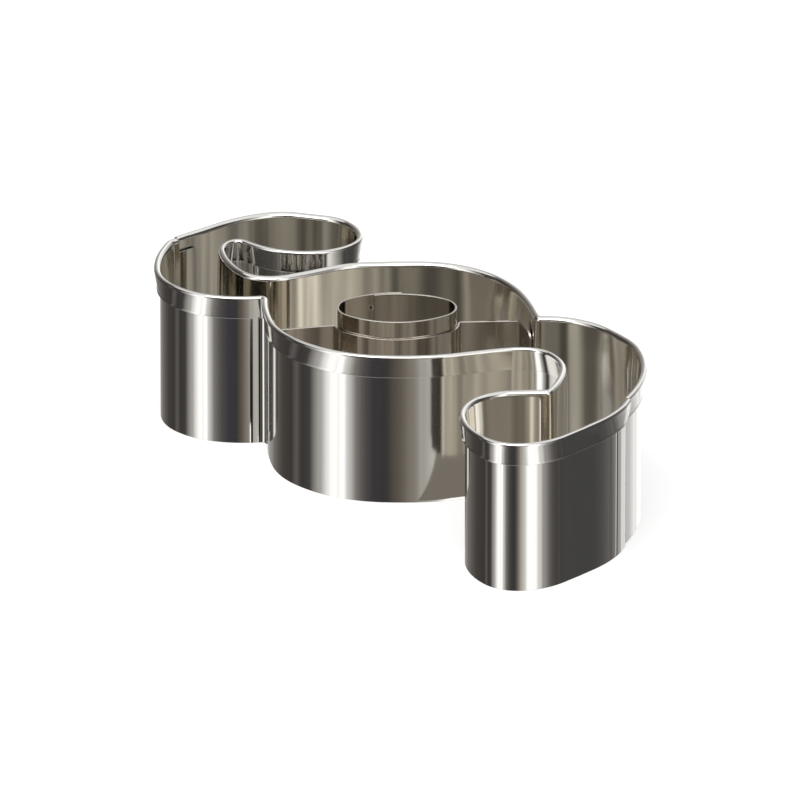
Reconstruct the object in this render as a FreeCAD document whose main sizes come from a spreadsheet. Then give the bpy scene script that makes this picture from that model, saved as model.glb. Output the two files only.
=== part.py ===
import FreeCAD, Part
import math
import os

# A cookie cutter in the shape of a section sign, bent from thin bright steel strip.
# Two hemmed wall strips lap over each other at two joints and make the closed outline.
# An oval ring cuts the hole of the sign, and a flat strap welded below the rim carries it.
#
# Millimetres, +Z up. The cutting edge lies on Z = 0 and the hemmed rim is on top.
# The sign reads upright with +Y up and +X right, and the origin is the middle of its outline.


# Driving sizes

SIZES = (
    ("cutter_height", 22.0, "cutting edge to the crown of the hemmed rim"),
    ("sign_length", 79.8, "rim line of the sign, foot to head"),
    ("sign_width", 34.6, "rim line of the sign, side to side"),
    ("sheet", 0.3, "thickness of every strip"),
    ("wall_inset", 0.45, "rim line to the outer face of the wall under it"),
    ("crease_fall", 4.1, "crown of the rim to the crease where the wall starts to lean out"),
    ("wall_lean", 2.0, "degrees that the wall leans out above the crease"),
    ("roll_inside", 0.45, "bend radius of the hem where the wall turns over"),
    ("roll_outside", 0.22, "bend radius of the hem where it turns down again"),
    ("hem_fall", 3.3, "crown of the rim to the raw edge of the hem"),
    ("hem_gap", 0.06, "air between the wall and the raw edge of the hem"),
    ("trim_run", 1.2, "corner trimmed off the hem at the start of a strip, along the rim"),
    ("trim_rise", 0.9, "the same corner, upwards from the raw edge"),
    ("nick", 0.5, "corner trimmed off the hem at the end of a strip, both ways"),
    ("corner_bend", 0.25, "bend radius left at the face of the rim in an inward corner"),
    ("butt_gap", 0.16, "gap between the two rims at a joint"),
    ("lap_length", 3.2, "how far a plain tab runs inside the next wall"),
    ("tab_seat", 0.6, "straight end of a wall, half of it under its tab"),
    ("joint_bend", 1.35, "bend of the rim line where a strip comes in to its joint"),
    ("lap_gap", 0.06, "air between a lapped sheet and the sheet over it"),
    ("lap_fall", 1.8, "crown of the rim to the top of a lap tab"),
    ("tab_corner", 1.2, "corner radius of the tabs"),
    ("crimp_length", 1.8, "flat at the start of a wall strip, pressed on to the tab"),
    ("crimp_turn", 6.0, "degrees that the flat is turned inwards"),
    ("crimp_bend", 2.0, "bend radius at the end of the flat"),
    ("ring_length", 16.1, "outside of the oval ring along its long axis"),
    ("ring_width", 9.4, "outside of the oval ring across"),
    ("ring_end_radius", 3.1, "outside radius of its two ends"),
    ("ring_tilt", -42.0, "degrees from +X to the long axis of the ring"),
    ("ring_lap", 3.8, "overlap where the ring closes on itself"),
    ("ring_fall", 0.3, "crown of the rim to the top of the ring"),
    ("seam_offset", 3.15, "raw edge inside the ring, from the middle towards the upper end"),
    ("strap_height", 10.0, "height of the strap that carries the ring"),
    ("strap_fall", 2.7, "crown of the rim to the top of the strap"),
    ("strap_gap", 0.06, "air between the strap and what it is welded to"),
    ("strap_bend", 0.55, "bend radius of the strap, to the middle of the sheet"),
    ("foot_length", 4.4, "strap along the wall at each end"),
    ("foot_setback", 0.1, "end of the strap to the inward corner of the wall"),
    ("foot_lift", 0.5, "how far the bend of the strap stands off the wall"),
    ("upper_release", 1.2, "where the strap leaves the upper end of the ring, before its tip"),
    ("lower_release", 0.2, "where the strap leaves the lower end of the ring, before its tip"),
)

doc = FreeCAD.newDocument("section_sign_cutter")
sheet = doc.addObject("Spreadsheet::Sheet", "Sizes")
for row, (alias, value, meaning) in enumerate(SIZES, start=1):
    sheet.set("A%d" % row, alias)
    sheet.set("B%d" % row, str(value))
    sheet.setAlias("B%d" % row, alias)
    sheet.set("C%d" % row, meaning)
doc.recompute()


def size(alias):
    """The value of one driving size, read from the sheet."""
    return float(sheet.get(alias))


# The drawing of the sign

# The rim line as drawn on a field of this width and length. Each node has x, y and the heading of
# travel in degrees from +X. Travel is clockwise seen from above, with the outside on the left.
# An inward corner has two headings: the one that comes in and the one that goes out.
FIELD_WIDTH = 34.6
FIELD_LENGTH = 79.8


# A joint has two headings too: the one at which a strip comes in, and the one of the lap itself.
HEAD_JOINT = (-6.9, 39.75, 24, 352)
FOOT_JOINT = (4.9, -37.2, 203, 203)

RIGHT_WAIST = (12.9, -10.8, 240, 320)
LEFT_WAIST = (-10.2, 18.4, 47, 147)

RIGHT_NODES = (
    (3.5, 38.8, 346),
    (10.3, 34.6, 303),
    (13.5, 28.0, 270),  # tip of the upper hook
    (9.1, 22.5, 180),
    (0.5, 28.3, 117),
    (-0.7, 32.9, 96),
    (-2.2, 34.2, 180),  # top of the notch inside the upper hook
    (-6.3, 30.0, 249),
    (-7.2, 25.9, 270),
    (-3.3, 21.1, 340),
    (7.0, 16.9, 322),
    (12.2, 12.5, 318),
    (17.1, 1.7, 270),  # right side of the middle
    (13.6, -9.5, 240),
    RIGHT_WAIST,
    (17.3, -19.9, 270),  # right side of the lower lobe
    (16.1, -27.2, 244),
)

LEFT_NODES = (
    (-8.7, -39.9, 180),  # foot of the sign
    (-17.2, -33.0, 90),  # tip of the lower hook
    (-9.5, -23.6, 0),
    (-2.0, -27.6, 317),
    (-1.2, -28.3, 317, 21),  # corner inside the lower hook
    (6.5, -19.8, 90),
    (3.7, -15.5, 147),
    (-3.2, -11.7, 151),
    (-10.8, -5.7, 134),
    (-15.9, 6.8, 90),  # left side of the middle
    LEFT_WAIST,
    (-17.0, 29.3, 90),  # left side of the upper lobe
    (-10.8, 38.3, 32),
)

RING_MIDDLE = (1.1, 4.4, 0)


# Stations: a place on a line and its heading

def ahead(station, distance):
    """The station reached by going straight on."""
    x, y, heading = station
    bearing = math.radians(heading)
    return (x + distance * math.cos(bearing), y + distance * math.sin(bearing), heading)


def aside(station, distance):
    """The same heading, a distance to the left."""
    x, y, heading = station
    bearing = math.radians(heading)
    return (x - distance * math.sin(bearing), y + distance * math.cos(bearing), heading)


def facing(station, heading):
    """The same place with another heading."""
    return (station[0], station[1], heading)


def bent(station, radius, turn):
    """The station at the end of a bend, with a turn in degrees to the left."""
    half = turn / 2
    chord = 2 * radius * abs(math.sin(math.radians(half)))
    across = ahead(facing(station, station[2] + half), chord)
    return facing(across, station[2] + turn)


def bearing_between(a, b):
    """The heading in degrees from one place to another."""
    return math.degrees(math.atan2(b[1] - a[1], b[0] - a[0]))


def distance_between(a, b):
    """The straight distance from one place to another."""
    return math.hypot(b[0] - a[0], b[1] - a[1])


def turn_between(heading, other):
    """The smaller turn in degrees, to the left, from one heading to another."""
    return (other - heading + 180) % 360 - 180


def crossing(a, b):
    """The place where the lines along two stations cross."""
    x, y = b[0] - a[0], b[1] - a[1]
    bearing = math.radians(b[2])
    across = x * math.sin(bearing) - y * math.cos(bearing)
    return ahead(a, across / math.sin(math.radians(b[2] - a[2])))


# A span is straight when it lies along one of its two headings, within this many degrees.
STRAIGHT = 0.15


def half_turn(a, b):
    """Half the turn in degrees of the arc from one station to the next, or 0 on a straight span."""
    chord = bearing_between(a, b)
    leaving = turn_between(a[2], chord)
    arriving = turn_between(chord, b[2])
    return 0.0 if min(abs(leaving), abs(arriving)) < STRAIGHT else leaving


def span_length(a, b):
    """The length of the line or arc from one station to the next."""
    half = math.radians(half_turn(a, b))
    chord = distance_between(a, b)
    return chord * half / math.sin(half) if half else chord


def part_way(a, b, share):
    """The station at a share of the way along a span."""
    half = half_turn(a, b)
    if not half:
        return ahead(facing(a, bearing_between(a, b)), share * distance_between(a, b))
    stretch_of_chord = math.sin(math.radians(half * share)) / math.sin(math.radians(half))
    there = ahead(facing(a, a[2] + half * share), distance_between(a, b) * stretch_of_chord)
    return facing(there, a[2] + 2 * half * share)


def meeting(a, b):
    """The station where the two arcs that join two nodes meet."""
    heading_a = math.radians(a[2])
    heading_b = math.radians(b[2])
    chord = (b[0] - a[0], b[1] - a[1])
    headings = (math.cos(heading_a) + math.cos(heading_b), math.sin(heading_a) + math.sin(heading_b))
    along = chord[0] * headings[0] + chord[1] * headings[1]
    square = chord[0] ** 2 + chord[1] ** 2
    spread = 2 * (1 - math.cos(heading_b - heading_a))
    if spread < 1e-9:
        reach = square / (2 * along)
    else:
        reach = (math.sqrt(along ** 2 + spread * square) - along) / spread
    near = ahead(a, reach)
    far = ahead(b, -reach)
    return ((near[0] + far[0]) / 2, (near[1] + far[1]) / 2, bearing_between(near, far))


def one_span(a, b):
    """Whether a single line or arc joins two nodes."""
    chord = bearing_between(a, b)
    return abs(turn_between(a[2], chord) - turn_between(chord, b[2])) < STRAIGHT


def route(nodes):
    """The stations of a smooth line through the nodes."""
    stations = [nodes[0]]
    for node in nodes[1:]:
        last = stations[-1]
        if distance_between(last, node) < 1e-6:
            continue
        if not one_span(last, node):
            stations.append(meeting(last, node))
        stations.append(node)
    return stations


def rounded(points, radius):
    """The stations of a run of straight lines with its corners rounded."""
    first = facing(points[0], bearing_between(points[0], points[1]))
    stations = [first]
    for before, corner, after in zip(points, points[1:], points[2:]):
        coming = facing(corner, bearing_between(before, corner))
        going = facing(corner, bearing_between(corner, after))
        half = math.radians(abs(turn_between(coming[2], going[2])) / 2)
        stations.append(ahead(coming, -radius * math.tan(half)))
        stations.append(ahead(going, radius * math.tan(half)))
    stations.append(facing(points[-1], bearing_between(points[-2], points[-1])))
    return stations


def route_length(stations):
    """The length of a whole line."""
    return sum(span_length(a, b) for a, b in zip(stations, stations[1:]))


def station_at(stations, distance):
    """The station at a distance along a line."""
    for a, b in zip(stations, stations[1:]):
        length = span_length(a, b)
        if distance <= length:
            return part_way(a, b, distance / length)
        distance -= length
    return ahead(stations[-1], distance)


def stretch(stations, start, end):
    """The stations of a line between two distances along it."""
    chosen = [station_at(stations, start)]
    travelled = 0.0
    for a, b in zip(stations, stations[1:]):
        travelled += span_length(a, b)
        if start + 1e-6 < travelled < end - 1e-6:
            chosen.append(b)
    chosen.append(station_at(stations, end))
    return chosen


def distance_to(stations, place):
    """How far along a line one of its stations lies."""
    travelled = 0.0
    for a, b in zip(stations, stations[1:]):
        if distance_between(a, place) < 1e-6:
            break
        travelled += span_length(a, b)
    return travelled


def parallel(stations, distance):
    """The line that runs beside another, a distance to its left."""
    return [aside(station, distance) for station in stations]


def reverse(stations):
    """The same line travelled the other way."""
    return [facing(station, station[2] + 180) for station in reversed(stations)]


# Sketch geometry

def point(station):
    """The place of a station on the sketch plane."""
    return FreeCAD.Vector(station[0], station[1], 0)


def spans(stations):
    """The lines and arcs that join the stations."""
    geometry = []
    for a, b in zip(stations, stations[1:]):
        half = half_turn(a, b)
        if half:
            geometry.append(Part.Arc(point(a), point(part_way(a, b, 0.5)), point(b)))
        else:
            geometry.append(Part.LineSegment(point(a), point(b)))
    return geometry


def polygon(places):
    """The closed outline of straight lines through the places."""
    corners = [point(place) for place in places]
    return [Part.LineSegment(a, b) for a, b in zip(corners, corners[1:] + corners[:1])]


def band(stations, thickness):
    """The closed outline of a strip of sheet whose middle is the line."""
    left = parallel(stations, thickness / 2)
    right = reverse(parallel(stations, -thickness / 2))
    caps = [
        Part.LineSegment(point(left[-1]), point(right[0])),
        Part.LineSegment(point(right[-1]), point(left[0])),
    ]
    return spans(left) + spans(right) + caps


def flat_side(stations, distance):
    """The corners of a line of flats, each on its station's heading, a distance to the left."""
    flats = parallel(stations, distance)
    return [flats[0]] + [crossing(a, b) for a, b in zip(flats, flats[1:])] + [flats[-1]]


def flat_band(stations, thickness):
    """The closed outline of a folded sheet whose flats lie on the stations' headings."""
    return polygon(flat_side(stations, thickness / 2) + flat_side(stations, -thickness / 2)[::-1])


def new_body(name):
    """A body whose label names its piece."""
    body = doc.addObject("PartDesign::Body", name)
    body.Label = name
    return body


def new_sketch(body, name, plane, geometry):
    """A sketch on one of the body's own origin planes."""
    planes = {feature.Role: feature for feature in body.Origin.OriginFeatures}
    sketch = body.newObject("Sketcher::SketchObject", name)
    sketch.AttachmentSupport = (planes[plane], [""])
    sketch.MapMode = "FlatFace"
    sketch.addGeometry(geometry, False)
    return sketch


def pad(body, name, sketch, length):
    """A pad whose length follows an expression."""
    feature = body.newObject("PartDesign::Pad", name)
    feature.Profile = sketch
    feature.setExpression("Length", length)
    doc.recompute()
    return feature


def round_corner(body, name, feature, corner, height):
    """Rounds the upper corner of a tab: the short edge at a corner place and a height."""
    def distance(edge):
        return (edge.CenterOfMass - FreeCAD.Vector(corner[0], corner[1], height)).Length

    edges = feature.Shape.Edges
    nearest = min(range(len(edges)), key=lambda index: distance(edges[index]))
    fillet = body.newObject("PartDesign::Fillet", name)
    fillet.Base = (feature, ["Edge%d" % (nearest + 1)])
    fillet.setExpression("Radius", "Sizes.tab_corner")
    doc.recompute()
    return fillet


# The section of the hemmed wall

THICK = size("sheet")
HEIGHT = size("cutter_height")
WALL_MIDDLE = size("wall_inset") + THICK / 2
LAP_STEP = THICK + size("lap_gap")


def hem_section():
    """The flats of the sheet from the cutting edge over the rim to the raw edge of the hem.

    Each station lies on the middle of its flat, in the plane across the wall: the distance out
    from the rim line and the height. The first is the cutting edge and the last the raw edge.
    Two flats stand for each bend of the hem, so that the swept faces stay cylinders and cones.
    """
    leaning = 90 - size("wall_lean")
    slope = math.tan(math.radians(size("wall_lean")))
    foot = (-WALL_MIDDLE, 0, 90)
    crease = (-WALL_MIDDLE, HEIGHT - size("crease_fall"), leaning)
    turn_height = size("roll_inside") * (1 - math.cos(math.radians(leaning)))
    shoulder_height = HEIGHT - THICK / 2 - turn_height
    shoulder = (crease[0] + (shoulder_height - crease[1]) * slope, shoulder_height, leaning)
    rising = bent(shoulder, size("roll_inside"), -leaning / 2)
    crown = bent(shoulder, size("roll_inside"), -leaning)

    # The hem comes down straight from its outer bend until it all but meets the wall.
    wall_beside = crease[0] + (size("crease_fall") - size("hem_fall")) * slope
    raw_edge = (wall_beside + THICK + size("hem_gap"), HEIGHT - size("hem_fall"))
    bend_middle = aside(crown, -size("roll_outside"))
    reach = distance_between(bend_middle, raw_edge)
    spread = math.degrees(math.asin(size("roll_outside") / reach))
    down = bearing_between(bend_middle, raw_edge) - spread
    falling = bent(crown, size("roll_outside"), down / 2)
    return [foot, crease, rising, crown, falling, facing(raw_edge, down)]


SECTION = hem_section()
BEAD_REACH = max(place[0] for place in flat_side(SECTION, THICK / 2))


# The rim line at its real size

def placed(node):
    """A node of the drawing stretched from its field to the real width and length."""
    across = size("sign_width") / FIELD_WIDTH
    along = size("sign_length") / FIELD_LENGTH
    headings = []
    for heading in node[2:]:
        bearing = math.radians(heading)
        stretched = math.atan2(along * math.sin(bearing), across * math.cos(bearing))
        headings.append(math.degrees(stretched))
    return (node[0] * across, node[1] * along, *headings)


def corner_bend(node):
    """The two ends of the bend in an inward corner of the rim line."""
    x, y, coming, going = placed(node)
    radius = size("corner_bend") + BEAD_REACH
    tangent = radius * math.tan(math.radians(abs(turn_between(coming, going)) / 2))
    return [ahead((x, y, coming), -tangent), ahead((x, y, going), tangent)]


def rim_nodes(drawing):
    """The nodes of a drawing at their real size, with each corner as the ends of its bend."""
    nodes = []
    for node in drawing:
        nodes += corner_bend(node) if len(node) == 4 else [placed(node)]
    return nodes


def lap_station(joint):
    """The place of a joint and the heading of its lap."""
    x, y, coming, going = placed(joint)
    return (x, y, going)


def strip_rim(start, drawing, end):
    """The rim line of one strip, which starts outside its neighbour and ends inside it."""
    lap = lap_station(start)
    raw_edge = facing(aside(lap, LAP_STEP / 2), lap[2] + size("crimp_turn"))
    flat_end = ahead(raw_edge, size("crimp_length"))
    settled = bent(flat_end, size("crimp_bend"), -size("crimp_turn"))
    last = ahead(aside(lap_station(end), -LAP_STEP / 2), -size("butt_gap"))
    seat = ahead(last, -size("tab_seat"))
    arrival_turn = turn_between(placed(end)[2], seat[2])
    bend_start = bent(facing(seat, seat[2] + 180), size("joint_bend"), -arrival_turn)
    arrival = facing(bend_start, bend_start[2] + 180)
    return route([raw_edge, flat_end, settled] + rim_nodes(drawing) + [arrival, seat, last])


HEAD = lap_station(HEAD_JOINT)
FOOT = lap_station(FOOT_JOINT)
RIGHT_LINE = route([HEAD] + rim_nodes(RIGHT_NODES) + [FOOT])
LEFT_LINE = route([FOOT] + rim_nodes(LEFT_NODES) + [HEAD])
RIGHT_RIM = strip_rim(HEAD_JOINT, RIGHT_NODES, FOOT_JOINT)
LEFT_RIM = strip_rim(FOOT_JOINT, LEFT_NODES, HEAD_JOINT)

# Every body is drawn in the frame of the drawing and moved by this to the middle of the outline.
OUTLINE_BOX = Part.Compound([piece.toShape() for piece in spans(RIGHT_RIM) + spans(LEFT_RIM)]).BoundBox
TO_MIDDLE = FreeCAD.Placement()
TO_MIDDLE.Base = FreeCAD.Vector(-OUTLINE_BOX.Center.x, -OUTLINE_BOX.Center.y, 0)


# The two wall strips

def upright_plane(station, inset):
    """The offset of an upright sketch from the XZ plane: along a station's heading and up.

    It lies an inset inside the rim line. Its X runs along the heading.
    """
    x, y, heading = aside(station, -inset)
    turned = FreeCAD.Rotation(FreeCAD.Vector(0, 1, 0), heading)
    return FreeCAD.Placement(FreeCAD.Vector(x, 0, -y), turned)


def trim_hem(body, name, station, run, rise):
    """Cuts a corner off the lower edge of the hem and leaves the wall behind it whole.

    The corner runs along the heading from the station, or against it where the run is negative.
    """
    raw = HEIGHT - size("hem_fall")
    slope = rise / abs(run)
    margin = math.copysign(THICK, run)
    low, high = raw - THICK, raw + rise + THICK * slope
    outline = polygon([(-margin, low), (run + margin / slope, low), (-margin, high)])
    sketch = new_sketch(body, name + "_outline", "XZ_Plane", outline)
    hem_face = SECTION[-1][0] - THICK / 2
    sketch.AttachmentOffset = upright_plane(station, size("hem_gap") / 4 - hem_face)
    pocket = body.newObject("PartDesign::Pocket", name)
    pocket.Profile = sketch
    pocket.Length = 2 * (size("wall_inset") + BEAD_REACH)
    doc.recompute()
    return pocket


def wall_strip(name, rim, next_line):
    """A hemmed wall along its rim line, with a plain tab that runs on inside the next wall."""
    body = new_body(name)
    spine = new_sketch(body, name + "_rim_line", "XY_Plane", spans(rim))
    section = new_sketch(body, name + "_section", "XZ_Plane", flat_band(SECTION, THICK))
    across = facing(rim[0], rim[0][2] + 90)
    section.AttachmentOffset = upright_plane(across, 0)
    doc.recompute()
    wall = body.newObject("PartDesign::AdditivePipe", name + "_wall")
    wall.Profile = section
    wall.Spine = (spine, ["Edge%d" % (index + 1) for index in range(len(rim) - 1)])
    doc.recompute()

    lapped = parallel(stretch(next_line, 0, size("lap_length")), -LAP_STEP / 2 - WALL_MIDDLE)
    tab_line = [ahead(aside(rim[-1], -WALL_MIDDLE), -size("tab_seat") / 2)] + lapped
    outline = new_sketch(body, name + "_tab_outline", "XY_Plane", band(tab_line, THICK))
    tab = pad(body, name + "_tab", outline, "Sizes.cutter_height - Sizes.lap_fall")
    round_corner(body, name + "_tab_corner", tab, tab_line[-1], HEIGHT - size("lap_fall"))
    past_trim = station_at(rim, size("trim_run"))
    before_nick = station_at(rim, route_length(rim) - size("nick"))
    start = facing(rim[0], bearing_between(rim[0], past_trim))
    end = facing(rim[-1], bearing_between(before_nick, rim[-1]))
    trim_hem(body, name + "_trimmed_start", start, size("trim_run"), size("trim_rise"))
    trim_hem(body, name + "_nicked_end", end, -size("nick"), size("nick"))
    body.Placement = TO_MIDDLE
    return body


# The oval ring

RING = facing(placed(RING_MIDDLE), size("ring_tilt"))


def carried(station, frame):
    """A station drawn about the origin, carried to the place and heading of a frame."""
    there = aside(ahead(frame, station[0]), station[1])
    return facing(there, frame[2] + station[2])


def ring_stations():
    """The ring about its middle, clockwise: both joins of its ends, and a function for its back.

    The oval is four arcs. Its two ends have the end radius, and its two sides touch them.
    """
    half_length = (size("ring_length") - THICK) / 2
    half_width = (size("ring_width") - THICK) / 2
    end = size("ring_end_radius") - THICK / 2
    square = half_length ** 2 + half_width ** 2 - 2 * half_length * end
    side = square / (2 * (half_width - end))

    def back(x):
        return (x, math.sqrt(side ** 2 - x ** 2) - side + half_width, -math.degrees(math.asin(x / side)))

    join_x, join_y, join_heading = back((half_length - end) * side / (side - end))
    lower_end = [
        (join_x, join_y, join_heading),
        (half_length, 0, -90),
        (join_x, -join_y, -180 - join_heading),
    ]
    upper_end = [(-x, -y, heading - 180) for x, y, heading in lower_end]
    return lower_end, upper_end, back


LOWER_END, UPPER_END, RING_BACK = ring_stations()


def centre_ring():
    """The plain oval ring, closed by lapping its inner end under its outer one."""
    seam = -size("seam_offset")
    outer_end = seam + size("ring_lap")
    inner_lap = [aside(RING_BACK(x), -LAP_STEP) for x in (seam, outer_end)]
    nodes = inner_lap + LOWER_END + UPPER_END + [RING_BACK(outer_end)]
    line = route([carried(node, RING) for node in nodes])
    body = new_body("centre_ring")
    outline = new_sketch(body, "ring_outline", "XY_Plane", band(line, THICK))
    pad(body, "ring_wall", outline, "Sizes.cutter_height - Sizes.ring_fall")
    body.Placement = TO_MIDDLE
    return body


# The strap

def strap_foot(line, waist):
    """The end of the strap and its bend, inside a wall that comes up to its waist corner."""
    corner = corner_bend(waist)[0]
    end_distance = distance_to(line, corner) - size("foot_setback")
    touching = size("wall_inset") + THICK + size("strap_gap") + THICK / 2
    end = aside(station_at(line, end_distance), -touching)
    bend = aside(station_at(line, end_distance - size("foot_length")), -touching - size("foot_lift"))
    return end, bend


def ring_strap():
    """The flat strap from wall to wall, bent to hug the front half of the ring on its way."""
    front = [carried(node, RING) for node in LOWER_END[1:] + UPPER_END[:2]]
    hug = reverse(parallel(route(front), THICK + size("strap_gap")))
    hug = stretch(hug, size("upper_release"), route_length(hug) - size("lower_release"))
    # Each web meets the line of the hug just before it, so that the bend ends on that line.
    overshoot = 1.3 * size("strap_bend")
    upper_end, upper_bend = strap_foot(LEFT_LINE, LEFT_WAIST)
    lower_end, lower_bend = strap_foot(RIGHT_LINE, RIGHT_WAIST)
    upper = rounded([upper_end, upper_bend, ahead(hug[0], -overshoot), hug[0]], size("strap_bend"))
    lower = rounded([hug[-1], ahead(hug[-1], overshoot), lower_bend, lower_end], size("strap_bend"))
    line = upper[:-1] + hug + lower[1:]

    body = new_body("ring_strap")
    outline = new_sketch(body, "strap_outline", "XY_Plane", band(line, THICK))
    lower_edge = "Sizes.cutter_height - Sizes.strap_fall - Sizes.strap_height"
    outline.setExpression(".AttachmentOffset.Base.z", lower_edge)
    strap = pad(body, "strap_band", outline, "Sizes.strap_height")
    top = HEIGHT - size("strap_fall")
    first = round_corner(body, "upper_foot_corner", strap, line[0], top)
    round_corner(body, "lower_foot_corner", first, line[-1], top)
    body.Placement = TO_MIDDLE
    return body


# Building, checking and writing

pieces = [
    wall_strip("right_wall_strip", RIGHT_RIM, LEFT_LINE),
    wall_strip("left_wall_strip", LEFT_RIM, RIGHT_LINE),
    centre_ring(),
    ring_strap(),
]
doc.recompute()

for item in doc.Objects:
    if "Invalid" in item.State or "Error" in item.State:
        raise RuntimeError("%s is not built: %s" % (item.Label, item.State))
for piece in pieces:
    shape = piece.Shape
    if shape.isNull() or not shape.isValid() or len(shape.Solids) != 1:
        raise RuntimeError("%s is not one valid solid" % piece.Label)

os.makedirs("parts", exist_ok=True)
for piece in pieces:
    piece.Shape.exportStep(os.path.join("parts", piece.Label + ".step"))
    print("%s: %.1f mm3" % (piece.Label, piece.Shape.Volume))
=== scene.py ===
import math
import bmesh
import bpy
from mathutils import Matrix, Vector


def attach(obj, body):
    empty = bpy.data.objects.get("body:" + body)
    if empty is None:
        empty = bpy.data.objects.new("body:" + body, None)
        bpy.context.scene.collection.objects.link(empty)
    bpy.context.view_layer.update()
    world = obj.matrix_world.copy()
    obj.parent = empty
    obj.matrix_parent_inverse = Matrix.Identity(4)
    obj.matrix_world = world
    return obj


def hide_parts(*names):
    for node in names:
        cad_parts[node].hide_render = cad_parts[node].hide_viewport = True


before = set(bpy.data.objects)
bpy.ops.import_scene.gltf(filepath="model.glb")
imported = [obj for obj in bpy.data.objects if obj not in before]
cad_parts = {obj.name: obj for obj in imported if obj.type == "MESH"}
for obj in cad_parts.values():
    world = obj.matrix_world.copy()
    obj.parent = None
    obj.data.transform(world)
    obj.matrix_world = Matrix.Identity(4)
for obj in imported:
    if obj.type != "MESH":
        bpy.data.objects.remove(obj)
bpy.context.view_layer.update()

# %% [markdown]
# # A cookie cutter in the shape of a section sign
# The object is four strips of thin bright steel. Two hemmed strips make the closed wall,
# a plain oval ring cuts the hole of the sign, and a flat strap carries the ring.
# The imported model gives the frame: its size, its place and its four pieces.
# Its swept walls are made of flats, so each piece is modelled again here as a smooth sheet.

print("pieces:", sorted(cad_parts))

# %% [markdown]
# ## Camera
# The photograph looks down on the cutter from 26 degrees, 42 degrees round to its left.
# Its parallel lines stay parallel, which is what a long lens does from far away.
# So the camera gets a very long lens, and its distance follows from the width of the view.

# %% Set the camera
MM = 0.001
AZIMUTH, ELEVATION = math.radians(-42), math.radians(26)
VIEW_WIDTH = 107.1 * MM  # the width of the picture at the cutter
AIM = Vector((1.30, 4.04, 7.95)) * MM  # the point in the middle of the picture

lens = bpy.data.cameras.new("long_lens")
lens.lens = 1200
lens.sensor_width = 36
camera = bpy.data.objects.new("camera", lens)
bpy.context.scene.collection.objects.link(camera)
towards_camera = Vector((math.sin(AZIMUTH) * math.cos(ELEVATION),
                         -math.cos(AZIMUTH) * math.cos(ELEVATION),
                         math.sin(ELEVATION)))
camera.location = AIM + towards_camera * VIEW_WIDTH * lens.lens / lens.sensor_width
camera.rotation_euler = towards_camera.to_track_quat("Z", "Y").to_euler()
bpy.context.scene.camera = camera
print("camera distance in m:", round((camera.location - AIM).length, 3))

# %% [markdown]
# ## The way a strip runs
# A wall of the cutter follows a line in plan. It is drawn as stations: a place and a heading.
# Any two stations are joined by one or two arcs that leave and arrive along their headings.
# A curve object could be drawn instead, but arcs can be swept with Spin, and a line beside
# a line of arcs is again a line of arcs, so walls, tabs and strap keep an even gap.

# %% Steps from one station to another
def ahead(station, distance):
    """Goes straight on along the heading."""
    x, y, heading = station
    bearing = math.radians(heading)
    return (x + distance * math.cos(bearing), y + distance * math.sin(bearing), heading)


def aside(station, distance):
    """Moves to the left and keeps the heading."""
    x, y, heading = station
    bearing = math.radians(heading)
    return (x - distance * math.sin(bearing), y + distance * math.cos(bearing), heading)


def facing(station, heading):
    """Stays in place and takes another heading."""
    return (station[0], station[1], heading)


def bearing_between(a, b):
    """The heading in degrees from one place to another."""
    return math.degrees(math.atan2(b[1] - a[1], b[0] - a[0]))


def distance_between(a, b):
    """The straight distance between two places."""
    return math.hypot(b[0] - a[0], b[1] - a[1])


def turn_between(heading, other):
    """The smaller turn to the left, in degrees, from one heading to another."""
    return (other - heading + 180) % 360 - 180


def bent(station, radius, turn):
    """Goes round a bend of that radius and turn, to the left where the turn is positive."""
    chord = 2 * radius * abs(math.sin(math.radians(turn / 2)))
    return facing(ahead(facing(station, station[2] + turn / 2), chord), station[2] + turn)


# %% Arcs between stations
STRAIGHT = 0.15  # degrees within which a span counts as a straight line
SAME_PLACE = 1e-6  # mm within which two places count as one


def half_turn(a, b):
    """Half the turn of the arc between two stations, or 0 where the span is straight."""
    chord = bearing_between(a, b)
    leaving, arriving = turn_between(a[2], chord), turn_between(chord, b[2])
    return 0.0 if min(abs(leaving), abs(arriving)) < STRAIGHT else leaving


def span_length(a, b):
    """The length of the arc or line between two stations."""
    half = math.radians(half_turn(a, b))
    return distance_between(a, b) * (half / math.sin(half) if half else 1)


def part_way(a, b, share):
    """The station at a share of the way from one to the next."""
    half = half_turn(a, b)
    if not half:
        return ahead(facing(a, bearing_between(a, b)), share * distance_between(a, b))
    turned = math.radians(half * share)
    chord = distance_between(a, b) * math.sin(turned) / math.sin(math.radians(half))
    return facing(ahead(facing(a, a[2] + half * share), chord), a[2] + 2 * half * share)


def meeting(a, b):
    """The station where the two arcs from a to b meet."""
    bearing_a, bearing_b = math.radians(a[2]), math.radians(b[2])
    across, along = b[0] - a[0], b[1] - a[1]
    dot = (across * (math.cos(bearing_a) + math.cos(bearing_b))
           + along * (math.sin(bearing_a) + math.sin(bearing_b)))
    square = across ** 2 + along ** 2
    spread = 2 * (1 - math.cos(bearing_b - bearing_a))
    if spread < 1e-9:  # both headings are the same
        reach = square / (2 * dot)
    else:
        reach = (math.sqrt(dot ** 2 + spread * square) - dot) / spread
    near, far = ahead(a, reach), ahead(b, -reach)
    return ((near[0] + far[0]) / 2, (near[1] + far[1]) / 2, bearing_between(near, far))


# %% Whole lines
def route(nodes):
    """A smooth line through the nodes, as the stations where its arcs meet."""
    stations = [nodes[0]]
    for node in nodes[1:]:
        last = stations[-1]
        if distance_between(last, node) < SAME_PLACE:
            continue
        chord = bearing_between(last, node)
        if abs(turn_between(last[2], chord) - turn_between(chord, node[2])) >= STRAIGHT:
            stations.append(meeting(last, node))
        stations.append(node)
    return stations


def route_length(stations):
    """The length of a whole line."""
    return sum(span_length(a, b) for a, b in zip(stations, stations[1:]))


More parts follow.
